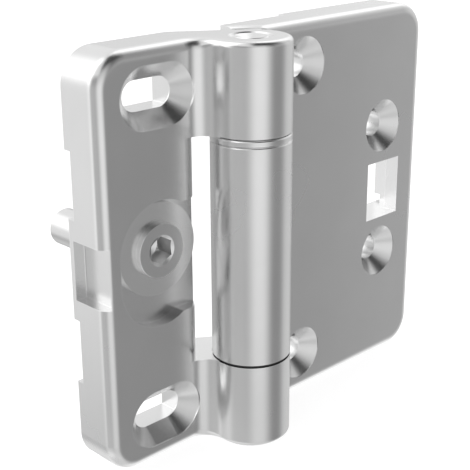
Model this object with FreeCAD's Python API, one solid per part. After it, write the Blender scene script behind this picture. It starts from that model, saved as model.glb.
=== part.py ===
import FreeCAD, Part
import math
import os

os.makedirs("parts", exist_ok=True)

# Overall sizes of the two leaves, in millimetres
HEIGHT = 100.0             # leaves and barrel, end to end
LEAF_THICK = 12.0          # mounting plane to front face
CORNER_R = 8.2             # outer corners of both leaves
EDGE_ROUND = 2.8           # rounding all round the front faces
WALL = 3.0                 # outer walls, the leaves are hollow from behind
FACE_WALL = 4.2            # wall behind the front faces
BASE_STEP = 2.0            # how far the rear edges stand short of the lands
RIB = 2.5                  # ribs across the hollows

# Barrel
BARREL_R = 9.65            # knuckles and middle barrel
AXIS_FORWARD = 5.4         # turning axis in front of the leaf faces
KNUCKLE_H = 22.0           # each of the two frame knuckles
BLEND_R = 5.0              # concave blend from a leaf face into the barrel
ARM_FOOT = 8.0             # where the sloping back of an arm leaves the mounting plane
KNUCKLE_ROUND = 1.4        # outer ends of the knuckles
EDGE_BREAK = 0.3           # small chamfers where barrel pieces meet
PIN_R = 4.5                # hinge pin
PIN_CHAMFER = 0.7
PIN_INSET = 0.1            # pin ends behind the knuckle ends
PIN_DISH_R = 3.7           # shallow conical dish in each pin end
PIN_DISH_FLOOR_R = 1.2
PIN_DISH_DEPTH = 0.9
BORE_MOUTH = 0.6           # chamfer where the pin bore opens
BUSH_R = 6.2               # bearing bushes pressed into the middle barrel
BUSH_LENGTH = 16.0
RING_H = 1.6               # flange of the upper bush, seen as a ring
SPACER_H = 0.45            # dark spacer on the lower knuckle
SPACER_INSET = 0.25        # spacer rim behind the barrel surface
SPACER_BREAK = 0.1         # chamfer of the barrel above the spacer
SEAT_SINK = 0.3            # machined seat of the spacer below the arm's inner face

# Frame leaf, measured from the axis of the locating pin
MID_GAP = 1.55             # between the middle edge of the leaf and the barrel
MID_EDGE_ROUND = 4.55      # front rounding of that edge
SLOT_Z = 38.9              # fixing slots above and below the middle
SLOT_SPARE = 0.25          # slots reach this much past the adjustment
FRAME_LAND_MID = 12.2      # half height of the middle land
FRAME_LAND_END = 28.0      # outer lands begin here
RECESS_HALF_Z = 7.2        # blind recess in the free edge
RECESS_DEPTH = 3.0
RECESS_SIDE_WALL = 1.75    # between the recess and the pocket
RECESS_LIP = 0.18          # material left in front of the recess
RECESS_BACK = 1.3          # material left behind it
RECESS_COVE = 0.3          # rounded bottom edge of the recess
FRAME_RIB_Z = 23.0

# Fixing holes for M6 countersunk screws
HOLE_R = 3.5
SINK_R = 7.16              # countersink at the face
SINK_LAND = 0.25           # short straight wall in front of the cone
BOSS_WALL = 3.1            # material round the holes behind the face

# Pocket and adjuster of the frame leaf
POCKET_DEPTH = 3.0
POCKET_CLEAR = 0.9         # round the disc
WEB = 3.0                  # wall behind the pocket
DISC_R = 11.2
DISC_THICK = 1.4
ECCENTRIC = 3.15           # locating pin axis below the disc axis, and the travel either way
NECK_R = 6.0               # guide of the disc in the web
HEAD_R = 6.5               # round head of the clamping screw
HEAD_SINK = 0.1            # head below the leaf face
HEAD_CHAMFER = 0.08
SOCKET_AF = 6.0            # hexagon socket across flats
SOCKET_DEPTH = 5.2
SOCKET_TURN = 30.0         # degrees from level to a corner of the hexagon
SOCKET_POINT = 1.8         # conical end of the socket
SOCKET_MOUTH_R = 3.75      # chamfer circle round the socket
SOCKET_MOUTH_DEPTH = 0.4
CLAMP_R = 4.0              # M8 shank
LOCATING_R = 4.65          # locating pin
LOCATING_REACH = 26.0      # behind the mounting plane
LOCATING_CHAMFER = 0.8
SUPPORT_THICK = 1.0
SPRING_THICK = 0.8
FLANGE_RIM = 0.15          # rear flange beyond the locating pin
FLANGE_GAP = 1.2           # rear flange to the wall beside it
FLANGE_INSET = 0.4         # rear flange in front of the mounting plane
SCREW_END_INSET = 0.8      # end of the clamping screw in front of the flange back

# Door leaf, measured from the turning axis
DOOR_REACH = 72.4          # free edge
DOOR_START = 5.2           # edge behind the barrel
KNUCKLE_CLEAR = 1.95       # round the frame knuckles
DOOR_NEAR_X = 24.4         # column of holes beside the barrel
DOOR_NEAR_Z = 39.0
DOOR_FAR_X = 56.5          # column of holes near the free edge
DOOR_FAR_Z = 18.1
DOOR_LAND_X = 27.4         # lands begin here
WINDOW_X0 = 50.8
WINDOW_X1 = 64.0
WINDOW_HALF_Z = 8.1
DOOR_NOTCH_Z0 = 6.6        # notches in the rear edge of the free side
DOOR_NOTCH_Z1 = 22.6
DOOR_HOLLOW_X = 17.0       # hollow begins here
END_CORNER_R = 3.0         # front corner beside the knuckles

# Grub screws that hold the pin
GRUB_R = 2.5
GRUB_LENGTH = 6.0
GRUB_AF = 2.5
GRUB_SOCKET = 2.5
GRUB_TIP = 0.5             # chamfer at the tip

# Fits and clearances, on the radius
RUN_FIT = 0.05             # pin in its bushes
HOLD_FIT = 0.02            # pin in the frame knuckles
SLIDE_FIT = 0.05           # disc neck in the web
THREAD_FIT = 0.02          # screws in their threads
SCREW_CLEAR = 0.25         # clamping screw in the disc
END_PLAY = 0.12            # barrel between the knuckles, at either end
SEAT_CLEAR = 0.15          # seat of the spacer round the barrel
OVERCUT = 1.0              # cuts run past the faces by this much

# Positions that follow from the sizes
HALF = HEIGHT / 2
FACE_Y = -LEAF_THICK
INNER_Y = FACE_Y + FACE_WALL
POCKET_R = DISC_R + POCKET_CLEAR
FLANGE_R = ECCENTRIC + LOCATING_R + FLANGE_RIM
FRAME_LEFT = POCKET_R + RECESS_SIDE_WALL + RECESS_DEPTH
MID_X = FLANGE_R + FLANGE_GAP + WALL
AXIS_X = MID_X + MID_GAP + BARREL_R
AXIS_Y = FACE_Y - AXIS_FORWARD
AXIS_BACK = -AXIS_Y
SLOT_TRAVEL = ECCENTRIC + SLOT_SPARE
DOOR_X = AXIS_X + DOOR_REACH
KNUCKLE_Z = HALF - KNUCKLE_H
BARREL_TOP = KNUCKLE_Z - END_PLAY - RING_H
SEAT_Z = -KNUCKLE_Z - SEAT_SINK
BARREL_LOW = SEAT_Z + END_PLAY + SPACER_H
FLOOR_Y = FACE_Y + POCKET_DEPTH
WEB_Y = FLOOR_Y + WEB
DISC_Z = ECCENTRIC
FLANGE_Y = WEB_Y + SUPPORT_THICK + SPRING_THICK
SINK_DEPTH = SINK_LAND + SINK_R - HOLE_R


def block(x0, x1, y0, y1, z0, z1):
    return Part.makeBox(x1 - x0, y1 - y0, z1 - z0, FreeCAD.Vector(x0, y0, z0))


def rod_z(x, y, radius, z0, z1):
    return Part.makeCylinder(radius, z1 - z0, FreeCAD.Vector(x, y, z0), FreeCAD.Vector(0, 0, 1))


def rod_y(x, z, radius, y0, y1):
    return Part.makeCylinder(radius, y1 - y0, FreeCAD.Vector(x, y0, z), FreeCAD.Vector(0, 1, 0))


def cone_y(x, z, r0, r1, y0, y1):
    return Part.makeCone(r0, r1, y1 - y0, FreeCAD.Vector(x, y0, z), FreeCAD.Vector(0, 1, 0))


def cone_z(x, y, r0, r1, z0, z1):
    return Part.makeCone(r0, r1, z1 - z0, FreeCAD.Vector(x, y, z0), FreeCAD.Vector(0, 0, 1))


def chamfered_rod_z(x, y, radius, z0, z1, low, high):
    """Upright cylinder with its own chamfer at either end."""
    body = rod_z(x, y, radius, z0 + low, z1 - high)
    body = body.fuse(cone_z(x, y, radius - low, radius, z0, z0 + low))
    body = body.fuse(cone_z(x, y, radius, radius - high, z1 - high, z1))
    return body.removeSplitter()


def upright_slot(low, high, radius, y0, y1):
    """Slot along Z from y0 to y1, with its round ends centred at low and high."""
    body = block(-radius, radius, y0, y1, low, high)
    body = body.fuse(rod_y(0.0, high, radius, y0, y1))
    return body.fuse(rod_y(0.0, low, radius, y0, y1))


def hexagon_y(x, z, flats, turn, y0, y1):
    """Hexagonal prism along Y with one corner at the given angle from +X."""
    corner = flats / 2 / math.cos(math.pi / 6)
    points = []
    for step in range(7):
        angle = math.radians(turn + 60 * step)
        points.append(FreeCAD.Vector(x + corner * math.cos(angle), y0, z + corner * math.sin(angle)))
    return Part.Face(Part.makePolygon(points)).extrude(FreeCAD.Vector(0, y1 - y0, 0))


def edges_where(shape, test):
    """Edges of which every sampled point passes the test."""
    found = []
    for edge in shape.Edges:
        points = edge.discretize(5)
        if all(test(p) for p in points):
            found.append(edge)
    return found


def near(value, target):
    return abs(value - target) < 0.001


def line(a, b):
    return Part.LineSegment(FreeCAD.Vector(a[0], a[1], 0), FreeCAD.Vector(b[0], b[1], 0)).toShape()


def arc(centre, radius, start, end):
    """Arc in plan between two angles in degrees, by its middle."""
    points = []
    for angle in (start, (start + end) / 2, end):
        turn = math.radians(angle)
        x = centre[0] + radius * math.cos(turn)
        y = centre[1] + radius * math.sin(turn)
        points.append(FreeCAD.Vector(x, y, 0))
    return Part.Arc(points[0], points[1], points[2]).toShape()


def ends(edge):
    first = edge.valueAt(edge.FirstParameter)
    last = edge.valueAt(edge.LastParameter)
    return (first.x, first.y), (last.x, last.y)


def slab(edges, z0, z1):
    """Closed outline in plan, raised from z0 to z1."""
    face = Part.Face(Part.Wire(edges))
    face.translate(FreeCAD.Vector(0, 0, z0))
    return face.extrude(FreeCAD.Vector(0, 0, z1 - z0))


def blend_centre(side):
    """Centre of the concave blend, side -1 to the left of the axis and 1 to the right."""
    reach = BARREL_R + BLEND_R
    rise = BLEND_R - AXIS_FORWARD
    return AXIS_X + side * math.sqrt(reach ** 2 - rise ** 2), FACE_Y - BLEND_R


def blend_outline(side, far_x):
    """Plan of a leaf with its arm."""
    centre = blend_centre(side)
    to_axis = math.degrees(math.atan2(AXIS_Y - centre[1], AXIS_X - centre[0]))
    cove = arc(centre, BLEND_R, 90, to_axis if side < 0 else to_axis % 360)
    face_point, barrel_point = ends(cove)
    inner = (AXIS_X, barrel_point[1])
    foot = (AXIS_X + side * ARM_FOOT, 0.0)
    foot_distance = math.hypot(ARM_FOOT, AXIS_BACK)
    foot_angle = math.atan2(AXIS_BACK, side * ARM_FOOT)
    spread = math.acos(BARREL_R / foot_distance)
    touch_angle = foot_angle + side * spread
    touch = (AXIS_X + BARREL_R * math.cos(touch_angle), AXIS_Y + BARREL_R * math.sin(touch_angle))
    return [
        line((far_x, 0.0), (far_x, FACE_Y)),
        line((far_x, FACE_Y), face_point),
        cove,
        line(barrel_point, inner),
        line(inner, touch),
        line(touch, foot),
        line(foot, (far_x, 0.0)),
    ]


def countersink(x, z):
    """Short land, cone and screw hole, from in front of the face to behind the leaf."""
    land = FACE_Y + SINK_LAND
    tool = rod_y(x, z, SINK_R, FACE_Y - OVERCUT, land)
    tool = tool.fuse(cone_y(x, z, SINK_R, HOLE_R, land, FACE_Y + SINK_DEPTH))
    return tool.fuse(rod_y(x, z, HOLE_R, land, OVERCUT))


def long_countersink(z):
    """Countersunk slot along X with the wider straight passage behind it."""
    front = FACE_Y - OVERCUT
    land = FACE_Y + SINK_LAND
    deep = FACE_Y + SINK_DEPTH
    half_section = [(front, SINK_R), (land, SINK_R), (deep, HOLE_R), (INNER_Y, HOLE_R)]
    section = half_section + [(y, -width) for y, width in reversed(half_section)]
    section.append(section[0])
    loop = Part.makePolygon([FreeCAD.Vector(-SLOT_TRAVEL, y, z + width) for y, width in section])
    tool = Part.Face(loop).extrude(FreeCAD.Vector(2 * SLOT_TRAVEL, 0, 0))
    tool = tool.fuse(countersink(-SLOT_TRAVEL, z))
    tool = tool.fuse(countersink(SLOT_TRAVEL, z))
    half = SLOT_TRAVEL + HOLE_R
    return tool.fuse(block(-half, half, INNER_Y, OVERCUT, z - HOLE_R, z + HOLE_R))


def knuckle():
    """Upper frame knuckle, chamfered where it meets the ring."""
    body = rod_z(AXIS_X, AXIS_Y, BARREL_R, KNUCKLE_Z, HALF)
    inner = edges_where(body, lambda p: near(p.z, KNUCKLE_Z))
    return body.makeChamfer(EDGE_BREAK, inner)


def on_circle(point, centre, radius):
    return near(math.hypot(point.x - centre[0], point.y - centre[1]), radius)


def rim_radii(edge):
    """Rounding at the two ends of an edge of the frame leaf's front rim, or None off the rim."""
    points = edge.discretize(7)
    end_face = all(near(abs(p.z), HALF) for p in points)
    on_face = all(near(p.y, FACE_Y) for p in points)
    beside_corner = all(p.x < CORNER_R - FRAME_LEFT + 0.001 for p in points)
    if on_face and (end_face or beside_corner):
        return EDGE_ROUND, EDGE_ROUND
    if end_face and all(on_circle(p, blend_centre(-1), BLEND_R) for p in points):
        if near(edge.lastVertex(True).Point.y, FACE_Y):
            return EDGE_ROUND, KNUCKLE_ROUND
        return KNUCKLE_ROUND, EDGE_ROUND
    if end_face and all(on_circle(p, (AXIS_X, AXIS_Y), BARREL_R) for p in points):
        return KNUCKLE_ROUND, KNUCKLE_ROUND
    return None


def round_front_rim(body):
    """Wide rounding round the leaf that narrows through the blends to the knuckle ends."""
    document = FreeCAD.newDocument("rim")
    blank = document.addObject("Part::Feature", "blank")
    blank.Shape = body.Solids[0]
    rounded = document.addObject("Part::Fillet", "rounded")
    rounded.Base = blank
    chosen = []
    for number, edge in enumerate(blank.Shape.Edges, 1):
        radii = rim_radii(edge)
        if radii:
            chosen.append((number, radii[0], radii[1]))
    rounded.Edges = chosen
    document.recompute()
    return rounded.Shape.copy()


def round_upright_edges(body, x, radius):
    """Round the two corners of a plate at one free edge."""
    corners = edges_where(body, lambda p: near(p.x, x) and near(abs(p.z), HALF))
    return body.makeFillet(radius, corners)


def hollow(x0, x1, round_x0, round_x1):
    """Space inside a leaf, open to the rear."""
    top = HALF - WALL
    body = block(x0, x1, INNER_Y, OVERCUT, -top, top)
    for x, wanted in ((x0, round_x0), (x1, round_x1)):
        if wanted:
            corners = edges_where(body, lambda p: near(p.x, x) and near(abs(p.z), top))
            body = body.makeFillet(CORNER_R - WALL, corners)
    return body


def frame_middle_outline():
    """Plan of the frame leaf between its arms, with the rounded edge beside the barrel."""
    turn = (MID_X - MID_EDGE_ROUND, FACE_Y + MID_EDGE_ROUND)
    corner = arc(turn, MID_EDGE_ROUND, 270, 360)
    first, last = ends(corner)
    return [
        line((-FRAME_LEFT, 0.0), (-FRAME_LEFT, FACE_Y)),
        line((-FRAME_LEFT, FACE_Y), first),
        corner,
        line(last, (MID_X, 0.0)),
        line((MID_X, 0.0), (-FRAME_LEFT, 0.0)),
    ]


def frame_blank():
    """Solid frame leaf with its two arms and knuckles."""
    arm = slab(blend_outline(-1, -FRAME_LEFT), KNUCKLE_Z, HALF).fuse(knuckle())
    body = slab(frame_middle_outline(), -KNUCKLE_Z, KNUCKLE_Z)
    body = body.fuse(arm)
    body = body.fuse(arm.mirror(FreeCAD.Vector(0, 0, 0), FreeCAD.Vector(0, 0, 1)))
    body = body.removeSplitter()
    return round_front_rim(round_upright_edges(body, -FRAME_LEFT, CORNER_R))


def frame_inside():
    """Walls, bosses and ribs that stand in the hollow of the frame leaf."""
    left = -FRAME_LEFT + WALL
    right = MID_X - WALL
    pocket_z = ECCENTRIC + POCKET_R + RIB
    solid = block(left, right, INNER_Y, WEB_Y, -pocket_z, pocket_z)
    recess_wall = left + RIB
    recess_z = RECESS_HALF_Z + RIB
    solid = solid.fuse(block(left, recess_wall, INNER_Y, 0.0, -recess_z, recess_z))
    boss_x = SLOT_TRAVEL + HOLE_R + BOSS_WALL
    boss_z = HOLE_R + BOSS_WALL
    for sign in (-1, 1):
        z = sign * SLOT_Z
        solid = solid.fuse(block(-boss_x, right, INNER_Y, -BASE_STEP, z - boss_z, z + boss_z))
        z = sign * FRAME_RIB_Z
        solid = solid.fuse(block(left, right, INNER_Y, -BASE_STEP, z - RIB / 2, z + RIB / 2))
    return solid


def side_recess():
    """Blind recess in the free edge with a rounded inner rear edge."""
    floor = -FRAME_LEFT + RECESS_DEPTH
    back = -RECESS_BACK
    tool = block(-FRAME_LEFT - OVERCUT, floor, FACE_Y + RECESS_LIP, back, -RECESS_HALF_Z, RECESS_HALF_Z)
    inner = edges_where(tool, lambda p: near(p.x, floor) and near(p.y, back))
    return tool.makeFillet(RECESS_COVE, inner)


def pin_bore():
    """Bore for the hinge pin through both knuckles, chamfered where it opens."""
    radius = PIN_R + HOLD_FIT
    tool = rod_z(AXIS_X, AXIS_Y, radius, -HALF - OVERCUT, HALF + OVERCUT)
    mouth = radius + BORE_MOUTH + OVERCUT
    depth = BORE_MOUTH + OVERCUT
    top = cone_z(AXIS_X, AXIS_Y, radius, mouth, HALF - BORE_MOUTH, HALF - BORE_MOUTH + depth)
    low = cone_z(AXIS_X, AXIS_Y, mouth, radius, -HALF + BORE_MOUTH - depth, -HALF + BORE_MOUTH)
    return tool.fuse(top).fuse(low)


def frame_leaf():
    body = frame_blank()
    body = body.cut(hollow(-FRAME_LEFT + WALL, MID_X - WALL, True, False))
    body = body.fuse(frame_inside())
    middle_z = (FRAME_LAND_MID, FRAME_LAND_END)
    for sign in (-1, 1):
        low = min(sign * middle_z[0], sign * middle_z[1])
        high = max(sign * middle_z[0], sign * middle_z[1])
        edge = MID_X + OVERCUT
        body = body.cut(block(-FRAME_LEFT - OVERCUT, edge, -BASE_STEP, OVERCUT, low, high))
        body = body.cut(long_countersink(sign * SLOT_Z))
        body = body.cut(rod_y(AXIS_X, sign * (HALF - KNUCKLE_H / 2), GRUB_R + THREAD_FIT, AXIS_Y, 0.0))
    pocket = upright_slot(-ECCENTRIC, ECCENTRIC, POCKET_R, FACE_Y - OVERCUT, FLOOR_Y)
    side_x = POCKET_R / 2
    side_z = ECCENTRIC + math.sqrt(POCKET_R ** 2 - side_x ** 2)
    pocket = pocket.fuse(block(side_x, MID_X + OVERCUT, FACE_Y - OVERCUT, FLOOR_Y, -side_z, side_z))
    body = body.cut(pocket)
    guide = (DISC_Z - ECCENTRIC - SLIDE_FIT, DISC_Z + SLIDE_FIT)
    body = body.cut(upright_slot(guide[0], guide[1], NECK_R + SLIDE_FIT, FLOOR_Y - OVERCUT, 0.0))
    body = body.cut(side_recess())
    body = body.cut(rod_z(AXIS_X, AXIS_Y, BARREL_R + SEAT_CLEAR, SEAT_Z, -KNUCKLE_Z + OVERCUT))
    body = body.cut(pin_bore())
    return body.removeSplitter()


def door_end_outline():
    """Plan of the door leaf above and below the barrel, kept clear of the knuckles."""
    clear = BARREL_R + KNUCKLE_CLEAR
    start = AXIS_X + DOOR_START
    start_angle = math.degrees(math.acos(DOOR_START / clear))
    centre_dy = AXIS_FORWARD + END_CORNER_R
    centre_dx = math.sqrt((clear + END_CORNER_R) ** 2 - centre_dy ** 2)
    meet_angle = math.degrees(math.atan2(centre_dy, centre_dx))
    around = arc((AXIS_X, AXIS_Y), clear, start_angle, meet_angle)
    corner_centre = (AXIS_X + centre_dx, AXIS_Y + centre_dy)
    corner = arc(corner_centre, END_CORNER_R, 180 + meet_angle, 270)
    first, meet = ends(around)
    face_point = ends(corner)[1]
    return [
        line((start, 0.0), first),
        around,
        corner,
        line(face_point, (DOOR_X, FACE_Y)),
        line((DOOR_X, FACE_Y), (DOOR_X, 0.0)),
        line((DOOR_X, 0.0), (start, 0.0)),
    ]


def door_blank():
    """Solid door leaf with the middle barrel."""
    body = slab(blend_outline(1, DOOR_X), BARREL_LOW, BARREL_TOP)
    body = body.fuse(slab(door_end_outline(), BARREL_TOP, HALF))
    body = body.fuse(slab(door_end_outline(), -HALF, BARREL_LOW))
    body = body.removeSplitter()
    body = round_upright_edges(body, DOOR_X, CORNER_R)
    rim = edges_where(body, lambda p: near(p.y, FACE_Y) and near(p.x, DOOR_X))
    body = body.makeFillet(EDGE_ROUND, rim)
    barrel = chamfered_rod_z(AXIS_X, AXIS_Y, BARREL_R, BARREL_LOW, BARREL_TOP, SPACER_BREAK, EDGE_BREAK)
    return body.fuse(barrel).removeSplitter()


def door_inside():
    """Bosses and ribs that stand in the hollow of the door leaf."""
    left = AXIS_X + DOOR_HOLLOW_X
    right = DOOR_X - WALL
    boss_r = HOLE_R + BOSS_WALL
    solid = None
    for sign in (-1, 1):
        near_boss = rod_y(AXIS_X + DOOR_NEAR_X, sign * DOOR_NEAR_Z, boss_r, INNER_Y, 0.0)
        far_boss = rod_y(AXIS_X + DOOR_FAR_X, sign * DOOR_FAR_Z, boss_r, INNER_Y, 0.0)
        low = sign * (WINDOW_HALF_Z + RIB / 2)
        rib = block(left, right, INNER_Y, -BASE_STEP, low - RIB / 2, low + RIB / 2)
        for piece in (near_boss, far_boss, rib):
            solid = piece if solid is None else solid.fuse(piece)
    cross = AXIS_X + DOOR_LAND_X + BOSS_WALL + HOLE_R
    top = HALF - WALL
    return solid.fuse(block(cross, cross + RIB, INNER_Y, -BASE_STEP, -top, top))


def door_leaf():
    body = door_blank()
    body = body.cut(hollow(AXIS_X + DOOR_HOLLOW_X, DOOR_X - WALL, False, True))
    body = body.fuse(door_inside())
    land_x = AXIS_X + DOOR_LAND_X
    body = body.cut(block(AXIS_X - BARREL_R, land_x, -BASE_STEP, OVERCUT, -HALF - OVERCUT, HALF + OVERCUT))
    for sign in (-1, 1):
        low = min(sign * DOOR_NOTCH_Z0, sign * DOOR_NOTCH_Z1)
        high = max(sign * DOOR_NOTCH_Z0, sign * DOOR_NOTCH_Z1)
        body = body.cut(block(DOOR_X - WALL, DOOR_X + OVERCUT, -BASE_STEP, OVERCUT, low, high))
        body = body.cut(countersink(AXIS_X + DOOR_NEAR_X, sign * DOOR_NEAR_Z))
        body = body.cut(countersink(AXIS_X + DOOR_FAR_X, sign * DOOR_FAR_Z))
    window = (AXIS_X + WINDOW_X0, AXIS_X + WINDOW_X1)
    body = body.cut(block(window[0], window[1], FACE_Y - OVERCUT, INNER_Y, -WINDOW_HALF_Z, WINDOW_HALF_Z))
    body = body.cut(rod_z(AXIS_X, AXIS_Y, BUSH_R, BARREL_LOW - OVERCUT, BARREL_LOW + BUSH_LENGTH))
    body = body.cut(rod_z(AXIS_X, AXIS_Y, BUSH_R, BARREL_TOP - BUSH_LENGTH, BARREL_TOP + OVERCUT))
    body = body.cut(rod_z(AXIS_X, AXIS_Y, PIN_R + SCREW_CLEAR, BARREL_LOW, BARREL_TOP))
    return body.removeSplitter()


def hinge_pin():
    end = HALF - PIN_INSET
    floor = end - PIN_DISH_DEPTH
    body = chamfered_rod_z(AXIS_X, AXIS_Y, PIN_R, -end, end, PIN_CHAMFER, PIN_CHAMFER)
    body = body.cut(cone_z(AXIS_X, AXIS_Y, PIN_DISH_FLOOR_R, PIN_DISH_R, floor, end))
    return body.cut(cone_z(AXIS_X, AXIS_Y, PIN_DISH_R, PIN_DISH_FLOOR_R, -end, -floor))


def upper_bush():
    """Bush with the full-width flange that shows as a ring under the upper knuckle."""
    flange_top = BARREL_TOP + RING_H
    flange = chamfered_rod_z(AXIS_X, AXIS_Y, BARREL_R, BARREL_TOP, flange_top, EDGE_BREAK, EDGE_BREAK)
    body = flange.fuse(rod_z(AXIS_X, AXIS_Y, BUSH_R, BARREL_TOP - BUSH_LENGTH, BARREL_TOP))
    bore = rod_z(AXIS_X, AXIS_Y, PIN_R + RUN_FIT, BARREL_TOP - BUSH_LENGTH, flange_top)
    return body.cut(bore).removeSplitter()


def lower_bush():
    body = rod_z(AXIS_X, AXIS_Y, BUSH_R, BARREL_LOW, BARREL_LOW + BUSH_LENGTH)
    bore = rod_z(AXIS_X, AXIS_Y, PIN_R + RUN_FIT, BARREL_LOW, BARREL_LOW + BUSH_LENGTH)
    return body.cut(bore)


def lower_spacer():
    low = BARREL_LOW - SPACER_H
    body = rod_z(AXIS_X, AXIS_Y, BARREL_R - SPACER_INSET, low, BARREL_LOW)
    return body.cut(rod_z(AXIS_X, AXIS_Y, PIN_R + RUN_FIT, low, BARREL_LOW))


def grub_screw(sign):
    """Socket grub screw pressing on the pin from the rear of an arm."""
    z = sign * (HALF - KNUCKLE_H / 2)
    tip = AXIS_Y + PIN_R
    rear = tip + GRUB_LENGTH
    body = cone_y(AXIS_X, z, GRUB_R - GRUB_TIP, GRUB_R, tip, tip + GRUB_TIP)
    body = body.fuse(rod_y(AXIS_X, z, GRUB_R, tip + GRUB_TIP, rear))
    body = body.cut(hexagon_y(AXIS_X, z, GRUB_AF, 0.0, rear - GRUB_SOCKET, rear))
    return body.removeSplitter()


def adjuster_disc():
    """Disc in the pocket with the neck that runs in the web."""
    disc_face = FLOOR_Y - DISC_THICK
    body = rod_y(0.0, DISC_Z, DISC_R, disc_face, FLOOR_Y)
    body = body.fuse(rod_y(0.0, DISC_Z, NECK_R, FLOOR_Y, WEB_Y - SLIDE_FIT))
    body = body.cut(rod_y(0.0, DISC_Z, CLAMP_R + SCREW_CLEAR, disc_face, WEB_Y))
    return body.removeSplitter()


def clamp_screw():
    """Round-headed socket screw that draws the disc and the rear flange together."""
    top = FACE_Y + HEAD_SINK
    seat = FLOOR_Y - DISC_THICK
    body = cone_y(0.0, DISC_Z, HEAD_R - HEAD_CHAMFER, HEAD_R, top, top + HEAD_CHAMFER)
    body = body.fuse(rod_y(0.0, DISC_Z, HEAD_R, top + HEAD_CHAMFER, seat))
    tip = -FLANGE_INSET - SCREW_END_INSET
    body = body.fuse(rod_y(0.0, DISC_Z, CLAMP_R, seat, tip))
    bottom = top + SOCKET_DEPTH
    socket = hexagon_y(0.0, DISC_Z, SOCKET_AF, SOCKET_TURN, top, bottom)
    flat = SOCKET_AF / 2
    socket = socket.fuse(cone_y(0.0, DISC_Z, flat, 0.0, bottom, bottom + SOCKET_POINT))
    socket = socket.fuse(cone_y(0.0, DISC_Z, SOCKET_MOUTH_R, flat, top, top + SOCKET_MOUTH_DEPTH))
    return body.cut(socket).removeSplitter()


def eccentric_pin():
    """Rear flange on the disc axis with the locating pin set off to one side."""
    back = -FLANGE_INSET
    body = rod_y(0.0, DISC_Z, FLANGE_R, FLANGE_Y, back)
    tip = LOCATING_REACH - LOCATING_CHAMFER
    body = body.fuse(rod_y(0.0, 0.0, LOCATING_R, back, tip))
    body = body.fuse(cone_y(0.0, 0.0, LOCATING_R, LOCATING_R - LOCATING_CHAMFER, tip, LOCATING_REACH))
    body = body.cut(rod_y(0.0, DISC_Z, CLAMP_R + THREAD_FIT, FLANGE_Y, back - SCREW_END_INSET))
    return body.removeSplitter()


def plain_ring(y0, thickness, outer, inner):
    body = rod_y(0.0, DISC_Z, outer, y0, y0 + thickness)
    return body.cut(rod_y(0.0, DISC_Z, inner, y0, y0 + thickness))


PARTS = {
    "frame_leaf": frame_leaf(),
    "door_leaf": door_leaf(),
    "hinge_pin": hinge_pin(),
    "upper_bush": upper_bush(),
    "lower_bush": lower_bush(),
    "lower_spacer": lower_spacer(),
    "upper_grub_screw": grub_screw(1),
    "lower_grub_screw": grub_screw(-1),
    "adjuster_disc": adjuster_disc(),
    "clamp_screw": clamp_screw(),
    "eccentric_pin": eccentric_pin(),
    "support_washer": plain_ring(WEB_Y, SUPPORT_THICK, FLANGE_R, CLAMP_R + SCREW_CLEAR),
    "spring_washer": plain_ring(WEB_Y + SUPPORT_THICK, SPRING_THICK, FLANGE_R, CLAMP_R + SCREW_CLEAR),
}

for name, shape in PARTS.items():
    shape.exportStep("parts/" + name + ".step")
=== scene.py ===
import math

import bpy
from mathutils import Matrix, Vector


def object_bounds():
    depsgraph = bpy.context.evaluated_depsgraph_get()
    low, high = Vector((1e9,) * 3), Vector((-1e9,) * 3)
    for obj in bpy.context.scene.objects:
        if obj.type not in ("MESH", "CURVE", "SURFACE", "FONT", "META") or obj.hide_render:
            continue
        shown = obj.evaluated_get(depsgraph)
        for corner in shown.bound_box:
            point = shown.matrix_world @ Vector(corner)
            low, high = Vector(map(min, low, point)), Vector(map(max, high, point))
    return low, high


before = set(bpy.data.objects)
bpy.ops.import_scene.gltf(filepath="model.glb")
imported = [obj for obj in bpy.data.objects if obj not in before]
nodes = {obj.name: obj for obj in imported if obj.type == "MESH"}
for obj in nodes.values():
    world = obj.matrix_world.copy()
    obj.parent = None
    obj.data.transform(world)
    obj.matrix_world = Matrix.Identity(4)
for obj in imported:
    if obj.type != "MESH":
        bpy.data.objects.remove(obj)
cad_low, cad_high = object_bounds()

MM = 0.001

# Camera, read off the photograph's perspective
CAMERA_TARGET = (23.35, -11.90, 0.99)   # mm, on the optical axis
CAMERA_DISTANCE = 261.98                # mm
CAMERA_AZIMUTH = -44.497                # degrees, 0 looks along +Y
CAMERA_ELEVATION = 19.821
CAMERA_ROLL = -0.316
FOCAL_SHARE = 1079.0 / 470.0            # focal length over the picture's width
SENSOR = 36.0                           # mm
CLIP_START = 0.01                       # m
CLIP_END = 20.0


def make_camera():
    """Perspective camera at the photograph's viewing angle."""
    azimuth = math.radians(CAMERA_AZIMUTH)
    elevation = math.radians(CAMERA_ELEVATION)
    back = Vector((
        math.sin(azimuth) * math.cos(elevation),
        -math.cos(azimuth) * math.cos(elevation),
        math.sin(elevation),
    ))
    level = Vector((math.cos(azimuth), math.sin(azimuth), 0.0))
    upright = back.cross(level)
    roll = math.radians(CAMERA_ROLL)
    right = level * math.cos(roll) + upright * math.sin(roll)
    up = upright * math.cos(roll) - level * math.sin(roll)
    place = (Vector(CAMERA_TARGET) + back * CAMERA_DISTANCE) * MM
    data = bpy.data.cameras.new("camera")
    data.sensor_width = SENSOR
    data.lens = FOCAL_SHARE * SENSOR
    data.clip_start = CLIP_START
    data.clip_end = CLIP_END
    camera = bpy.data.objects.new("camera", data)
    camera.matrix_world = Matrix((
        (right.x, up.x, back.x, place.x),
        (right.y, up.y, back.y, place.y),
        (right.z, up.z, back.z, place.z),
        (0.0, 0.0, 0.0, 1.0),
    ))
    bpy.context.scene.collection.objects.link(camera)
    bpy.context.scene.camera = camera


# Materials

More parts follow.
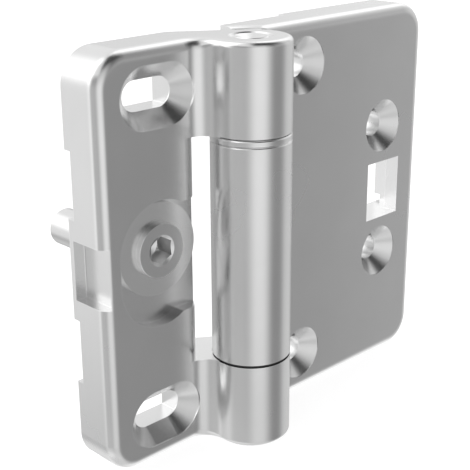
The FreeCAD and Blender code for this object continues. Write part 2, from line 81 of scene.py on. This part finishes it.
# Noise patterns: cells per metre, detail, roughness
METAL_CLOUD = (60.0, 4.0, 0.6)
METAL_SHEEN = (35.0, 3.0, 0.5)
PLASTIC_CLOUD = (120.0, 3.0, 0.5)
GRAIN_DETAIL = 2.0
GRAIN_ROUGHNESS = 0.6
NOISE_LOW = 0.25            # most of the noise lies between these two
NOISE_HIGH = 0.75

# Rubbed edges, found by how far a bevelled normal leans from the true one
WEAR_RADIUS = 0.4 * MM
WEAR_SAMPLES = 4
WEAR_STARTS = 0.995         # cosine of the lean
WEAR_FULL = 0.93
RUBBED_TONE = 0.98
RUBBED_SHARE = 0.55         # of the rubbed tone on a fully rubbed edge

GRAIN_HEIGHT = 0.02 * MM
PLASTIC_ROUGHNESS = (0.5, 0.65)


def grey(tone):
    """The colour of an even grey."""
    return tone, tone, tone, 1.0


class Graph:
    """A material's node tree round one main shader."""

    def __init__(self, name):
        self.material = bpy.data.materials.new(name)
        self.material.use_nodes = True
        self.tree = self.material.node_tree
        self.tree.nodes.clear()
        self.output = self.add("ShaderNodeOutputMaterial")
        self.shader = self.add("ShaderNodeBsdfPrincipled")
        self.link(self.shader, "BSDF", self.output, "Surface")

    def add(self, kind, **settings):
        node = self.tree.nodes.new(kind)
        for key, value in settings.items():
            setattr(node, key, value)
        return node

    def link(self, source, output, target, socket):
        self.tree.links.new(source.outputs[output], target.inputs[socket])

    def noise(self, scale, detail, roughness):
        """Noise over the piece's own coordinates."""
        where = self.add("ShaderNodeTexCoord")
        noise = self.add("ShaderNodeTexNoise")
        noise.inputs["Scale"].default_value = scale
        noise.inputs["Detail"].default_value = detail
        noise.inputs["Roughness"].default_value = roughness
        self.link(where, "Object", noise, "Vector")
        return noise

    def spread(self, noise, low, high):
        """Stretches the noise's usual range to low..high."""
        spread = self.add("ShaderNodeMapRange")
        spread.inputs["From Min"].default_value = NOISE_LOW
        spread.inputs["From Max"].default_value = NOISE_HIGH
        spread.inputs["To Min"].default_value = low
        spread.inputs["To Max"].default_value = high
        self.link(noise, "Fac", spread, "Value")
        return spread

    def clouded(self, noise, dark, light):
        """Goes from a dark to a light grey with the noise."""
        mix = self.add("ShaderNodeMix", data_type="RGBA")
        mix.inputs["A"].default_value = grey(dark)
        mix.inputs["B"].default_value = grey(light)
        self.link(self.spread(noise, 0.0, 1.0), "Result", mix, "Factor")
        return mix

    def edge_wear(self):
        """1 on exposed edges and 0 elsewhere."""
        bevel = self.add("ShaderNodeBevel", samples=WEAR_SAMPLES)
        bevel.inputs["Radius"].default_value = WEAR_RADIUS
        geometry = self.add("ShaderNodeNewGeometry")
        lean = self.add("ShaderNodeVectorMath", operation="DOT_PRODUCT")
        self.link(bevel, "Normal", lean, 0)
        self.link(geometry, "Normal", lean, 1)
        wear = self.add("ShaderNodeMapRange")
        wear.inputs["From Min"].default_value = WEAR_STARTS
        wear.inputs["From Max"].default_value = WEAR_FULL
        self.link(lean, "Value", wear, "Value")
        return wear

    def rubbed(self, base):
        """Lightens the base colour on exposed edges."""
        share = self.add("ShaderNodeMath", operation="MULTIPLY")
        share.inputs[1].default_value = RUBBED_SHARE
        self.link(self.edge_wear(), "Result", share, 0)
        mix = self.add("ShaderNodeMix", data_type="RGBA")
        mix.inputs["B"].default_value = grey(RUBBED_TONE)
        self.link(share, "Value", mix, "Factor")
        self.link(base, "Result", mix, "A")
        return mix


def metal(name, tones, roughness, grain, relief):
    """Satin metal: cloudy tone, uneven sheen, fine grain (cells per metre) and rubbed edges."""
    g = Graph(name)
    g.shader.inputs["Metallic"].default_value = 1.0
    base = g.clouded(g.noise(*METAL_CLOUD), *tones)
    g.link(g.rubbed(base), "Result", g.shader, "Base Color")
    rough = g.spread(g.noise(*METAL_SHEEN), *roughness)
    g.link(rough, "Result", g.shader, "Roughness")
    bump = g.add("ShaderNodeBump")
    bump.inputs["Strength"].default_value = relief
    bump.inputs["Distance"].default_value = GRAIN_HEIGHT
    g.link(g.noise(grain, GRAIN_DETAIL, GRAIN_ROUGHNESS), "Fac", bump, "Height")
    g.link(bump, "Normal", g.shader, "Normal")
    return g.material


def plastic(name, tones):
    """Dull plastic with a faint cloudy tone."""
    g = Graph(name)
    cloud = g.noise(*PLASTIC_CLOUD)
    g.link(g.clouded(cloud, *tones), "Result", g.shader, "Base Color")
    g.link(g.spread(cloud, *PLASTIC_ROUGHNESS), "Result", g.shader, "Roughness")
    return g.material


cast_metal = metal("cast_metal", tones=(0.76, 0.80), roughness=(0.23, 0.29), grain=2500.0, relief=0.12)
turned_metal = metal("turned_metal", tones=(0.84, 0.88), roughness=(0.22, 0.28), grain=1800.0, relief=0.12)
screw_metal = metal("screw_metal", tones=(0.72, 0.77), roughness=(0.24, 0.32), grain=1800.0, relief=0.2)
dark_plastic = plastic("dark_plastic", tones=(0.012, 0.02))

LOOKS = {
    "frame_leaf": cast_metal,
    "door_leaf": cast_metal,
    "hinge_pin": cast_metal,
    "upper_bush": cast_metal,
    "lower_bush": dark_plastic,
    "lower_spacer": dark_plastic,
    "upper_grub_screw": screw_metal,
    "lower_grub_screw": screw_metal,
    "adjuster_disc": turned_metal,
    "clamp_screw": screw_metal,
    "eccentric_pin": cast_metal,
    "support_washer": screw_metal,
    "spring_washer": screw_metal,
}

# Edges
BEVELS = {                  # mm
    "frame_leaf": 0.25,
    "door_leaf": 0.25,
    "adjuster_disc": 0.3,
    "clamp_screw": 0.05,
    "lower_spacer": 0.1,
}
BEVEL_STEPS = 2
SHARP_ANGLE = 35.0          # degrees between two faces, above which their edge is bevelled
FLAT_FACED = "adjuster_disc"    # its broad face keeps its shading flat up to the bevel


def dress(node_name):
    """Gives a CAD node its material, smooth curved faces and softened sharp edges."""
    obj = nodes[node_name]
    obj.data.materials.clear()
    obj.data.materials.append(LOOKS[node_name])
    for polygon in obj.data.polygons:
        polygon.use_smooth = True
    if node_name in BEVELS:
        bevel = obj.modifiers.new("edges", "BEVEL")
        bevel.width = BEVELS[node_name] * MM
        bevel.segments = BEVEL_STEPS
        bevel.limit_method = "ANGLE"
        bevel.angle_limit = math.radians(SHARP_ANGLE)
        bevel.harden_normals = node_name == FLAT_FACED
        bevel.use_clamp_overlap = True


# Studio

FLOOR_HALF = 3.0            # m
FLOOR_TONE = 0.4
FLOOR_ROUGHNESS = 0.9
FLOOR_GLOW = 0.84           # lifts the floor to the photograph's white


def make_floor():
    """White floor under the part, which the metal doesn't mirror."""
    low, high, level = -FLOOR_HALF, FLOOR_HALF, cad_low.z
    corners = [(low, low, level), (high, low, level), (high, high, level), (low, high, level)]
    mesh = bpy.data.meshes.new("floor")
    mesh.from_pydata(corners, [], [(0, 1, 2, 3)])
    floor = bpy.data.objects.new("floor", mesh)
    bpy.context.scene.collection.objects.link(floor)
    g = Graph("floor")
    g.shader.inputs["Base Color"].default_value = grey(FLOOR_TONE)
    g.shader.inputs["Roughness"].default_value = FLOOR_ROUGHNESS
    g.shader.inputs["Emission Color"].default_value = grey(1.0)
    g.shader.inputs["Emission Strength"].default_value = FLOOR_GLOW
    floor.data.materials.append(g.material)
    floor.visible_glossy = False


# The surroundings that the metal mirrors: soft panels of light all around the object. Each
# one is given by its centre's azimuth from +X and elevation, its half width, half height and
# soft border, all in degrees, and its brightness, which takes light away if it is negative
PANELS = {
    "horizon": (0.0, -20.0, 180.0, 18.0, 30.0, 0.36),
    "front_strip": (-111.5, 3.0, 9.5, 20.0, 34.0, 0.91),
    "front_right_high": (-38.0, 22.0, 20.0, 6.0, 22.0, 0.36),
    "top_left_front": (-170.0, 60.0, 30.0, 22.0, 15.0, 1.10),
    "left": (178.0, -10.0, 20.0, 32.0, 35.0, 0.33),
    "back_left": (139.0, 25.0, 14.0, 45.0, 20.0, 0.76),
    "back": (85.0, 0.0, 25.0, 60.0, 25.0, 0.22),
    "right": (4.0, 0.0, 22.5, 62.0, 30.0, 0.52),
    "top_back": (85.0, 60.0, 70.0, 38.0, 26.0, 1.00),
    "top_right": (10.0, 50.0, 20.0, 14.0, 16.0, 0.40),
    "top_left": (120.0, 42.0, 20.0, 20.0, 16.0, 0.50),
    "ground": (0.0, -90.0, 180.0, 34.0, 26.0, 0.95),
    "low_right_shade": (-42.0, -49.0, 18.0, 4.0, 16.0, -0.48),
}
LIGHT = 0.744               # scales all the panels and the light between them
BASE_LIGHT = 0.05 * LIGHT


def nearness(tree, angle, centre, half, border):
    """Weight of an angle to a panel: 1 on the panel, 0 past its border."""
    offset = tree.nodes.new("ShaderNodeMath")
    offset.operation = "SUBTRACT"
    offset.inputs[1].default_value = math.radians(centre)
    tree.links.new(angle, offset.inputs[0])
    size = tree.nodes.new("ShaderNodeMath")
    size.operation = "ABSOLUTE"
    tree.links.new(offset.outputs[0], size.inputs[0])
    fade = tree.nodes.new("ShaderNodeMapRange")
    fade.interpolation_type = "SMOOTHSTEP"
    fade.inputs["From Min"].default_value = math.radians(half + border)
    fade.inputs["From Max"].default_value = math.radians(half)
    tree.links.new(size.outputs[0], fade.inputs["Value"])
    return fade.outputs["Result"]


def add_panel(tree, direction, panel, brightness_so_far):
    """Adds one soft panel to the brightness of the surroundings."""
    azimuth, elevation, half_width, half_height, border, brightness = panel
    turned = tree.nodes.new("ShaderNodeVectorRotate")
    turned.rotation_type = "Z_AXIS"
    turned.inputs["Angle"].default_value = math.radians(-azimuth)
    tree.links.new(direction, turned.inputs["Vector"])
    parts = tree.nodes.new("ShaderNodeSeparateXYZ")
    tree.links.new(turned.outputs["Vector"], parts.inputs["Vector"])
    around = tree.nodes.new("ShaderNodeMath")
    around.operation = "ARCTAN2"
    tree.links.new(parts.outputs["Y"], around.inputs[0])
    tree.links.new(parts.outputs["X"], around.inputs[1])
    height = tree.nodes.new("ShaderNodeMath")
    height.operation = "ARCSINE"
    tree.links.new(parts.outputs["Z"], height.inputs[0])
    weight = tree.nodes.new("ShaderNodeMath")
    weight.operation = "MULTIPLY"
    tree.links.new(nearness(tree, around.outputs[0], 0.0, half_width, border), weight.inputs[0])
    tree.links.new(nearness(tree, height.outputs[0], elevation, half_height, border), weight.inputs[1])
    total = tree.nodes.new("ShaderNodeMath")
    total.operation = "MULTIPLY_ADD"
    total.inputs[1].default_value = brightness * LIGHT
    tree.links.new(weight.outputs[0], total.inputs[0])
    tree.links.new(brightness_so_far, total.inputs[2])
    return total.outputs[0]


def make_world():
    """Surroundings made of the soft panels, shown without a film curve."""
    world = bpy.data.worlds.new("studio")
    world.use_nodes = True
    tree = world.node_tree
    direction = tree.nodes.new("ShaderNodeTexCoord").outputs["Generated"]
    brightness = tree.nodes.new("ShaderNodeValue").outputs[0]
    brightness.default_value = BASE_LIGHT
    for panel in PANELS.values():
        brightness = add_panel(tree, direction, panel, brightness)
    background = tree.nodes["Background"]
    background.inputs["Color"].default_value = grey(1.0)
    tree.links.new(brightness, background.inputs["Strength"])
    bpy.context.scene.world = world
    bpy.context.scene.view_settings.view_transform = "Standard"


for node_name in LOOKS:
    dress(node_name)
make_floor()
make_world()
make_camera()
